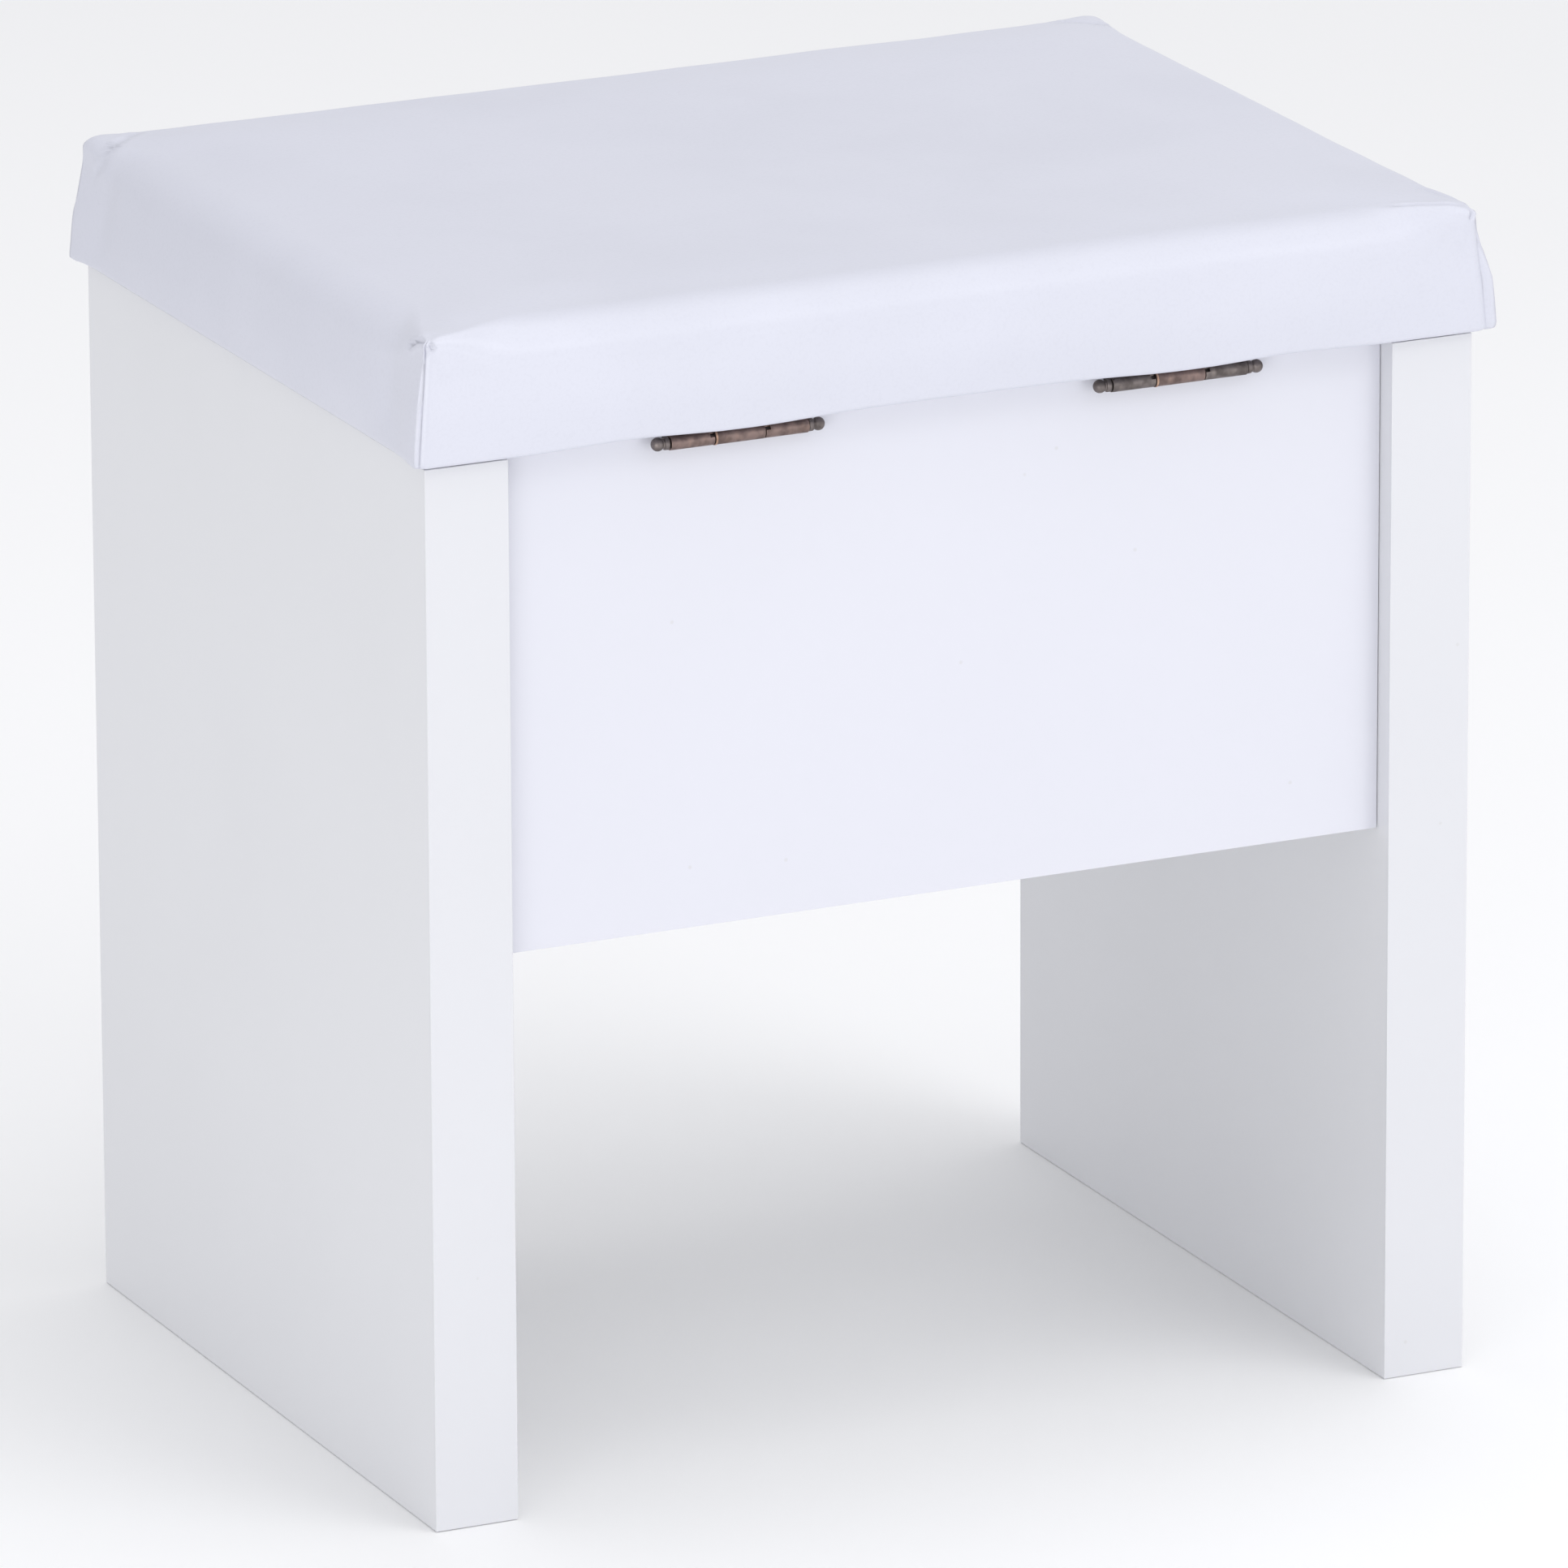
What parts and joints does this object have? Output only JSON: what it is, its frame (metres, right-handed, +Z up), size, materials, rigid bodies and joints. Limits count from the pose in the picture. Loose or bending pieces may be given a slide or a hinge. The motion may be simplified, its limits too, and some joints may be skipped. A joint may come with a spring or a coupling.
{
  "type": "padded storage stool",
  "caption": "Low padded dressing stool: a soft upholstered lid, hinged at the rear, over a shallow storage box held between plain slab sides.",
  "frame": {"origin": "centre of the footprint, on the floor", "axes": "+Z up, -Y towards the front, +Y towards the rear where the hinges are, +X towards the left side panel"},
  "size_m": [0.398, 0.297, 0.4152],
  "materials": {
    "white_board": "gloss",
    "white_hardboard": "satin",
    "white_leather": "satin",
    "raw_board": "matte",
    "foam": "matte",
    "beech_dowel": "matte",
    "antique_bronze": "satin",
    "zinc_fittings": "satin",
    "clear_rubber": "satin"
  },
  "bodies": {
    "carcase": {"side_panel_left": "white_board", "side_panel_right": "white_board", "rear_panel": "white_board", "front_panel": "white_board", "bottom_panel": "white_hardboard", "cam_lock_rear_left_lower": "zinc_fittings", "cam_bolt_rear_left_lower": "zinc_fittings", "dowel_rear_left_lower": "beech_dowel", "cam_lock_rear_left_upper": "zinc_fittings", "cam_bolt_rear_left_upper": "zinc_fittings", "dowel_rear_left_upper": "beech_dowel", "cam_lock_rear_right_lower": "zinc_fittings", "cam_bolt_rear_right_lower": "zinc_fittings", "dowel_rear_right_lower": "beech_dowel", "cam_lock_rear_right_upper": "zinc_fittings", "cam_bolt_rear_right_upper": "zinc_fittings", "dowel_rear_right_upper": "beech_dowel", "cam_lock_front_left_lower": "zinc_fittings", "cam_bolt_front_left_lower": "zinc_fittings", "dowel_front_left_lower": "beech_dowel", "cam_lock_front_left_upper": "zinc_fittings", "cam_bolt_front_left_upper": "zinc_fittings", "dowel_front_left_upper": "beech_dowel", "cam_lock_front_right_lower": "zinc_fittings", "cam_bolt_front_right_lower": "zinc_fittings", "dowel_front_right_lower": "beech_dowel", "cam_lock_front_right_upper": "zinc_fittings", "cam_bolt_front_right_upper": "zinc_fittings", "dowel_front_right_upper": "beech_dowel", "lid_bumper_rear_left": "clear_rubber", "lid_bumper_front_left": "clear_rubber", "lid_bumper_rear_right": "clear_rubber", "lid_bumper_front_right": "clear_rubber", "hinge_body_leaf_left": "antique_bronze", "hinge_pin_left": "antique_bronze", "hinge_body_leaf_right": "antique_bronze", "hinge_pin_right": "antique_bronze", "hinge_screw_body_left_outer_left": "antique_bronze", "hinge_screw_body_left_outer_right": "antique_bronze", "hinge_screw_body_right_outer_left": "antique_bronze", "hinge_screw_body_right_outer_right": "antique_bronze"},
    "lid": {"lid_board": "raw_board", "seat_foam": "foam", "seat_cover": "white_leather", "lid_liner": "white_hardboard", "liner_screw_rear_left": "zinc_fittings", "liner_screw_rear_right": "zinc_fittings", "liner_screw_front_left": "zinc_fittings", "liner_screw_front_right": "zinc_fittings", "hinge_lid_leaf_left": "antique_bronze", "hinge_lid_leaf_right": "antique_bronze", "hinge_screw_lid_left_outer_left": "antique_bronze", "hinge_screw_lid_left_outer_right": "antique_bronze", "hinge_screw_lid_right_outer_left": "antique_bronze", "hinge_screw_lid_right_outer_right": "antique_bronze"}
  },
  "joints": [
    {"name": "lid_hinge", "type": "hinge", "parent": "carcase", "child": "lid", "pos_m": [0, 0.1387, 0.3652], "axis": [-1, 0, 0], "range_deg": [0, 95]}
  ]
}
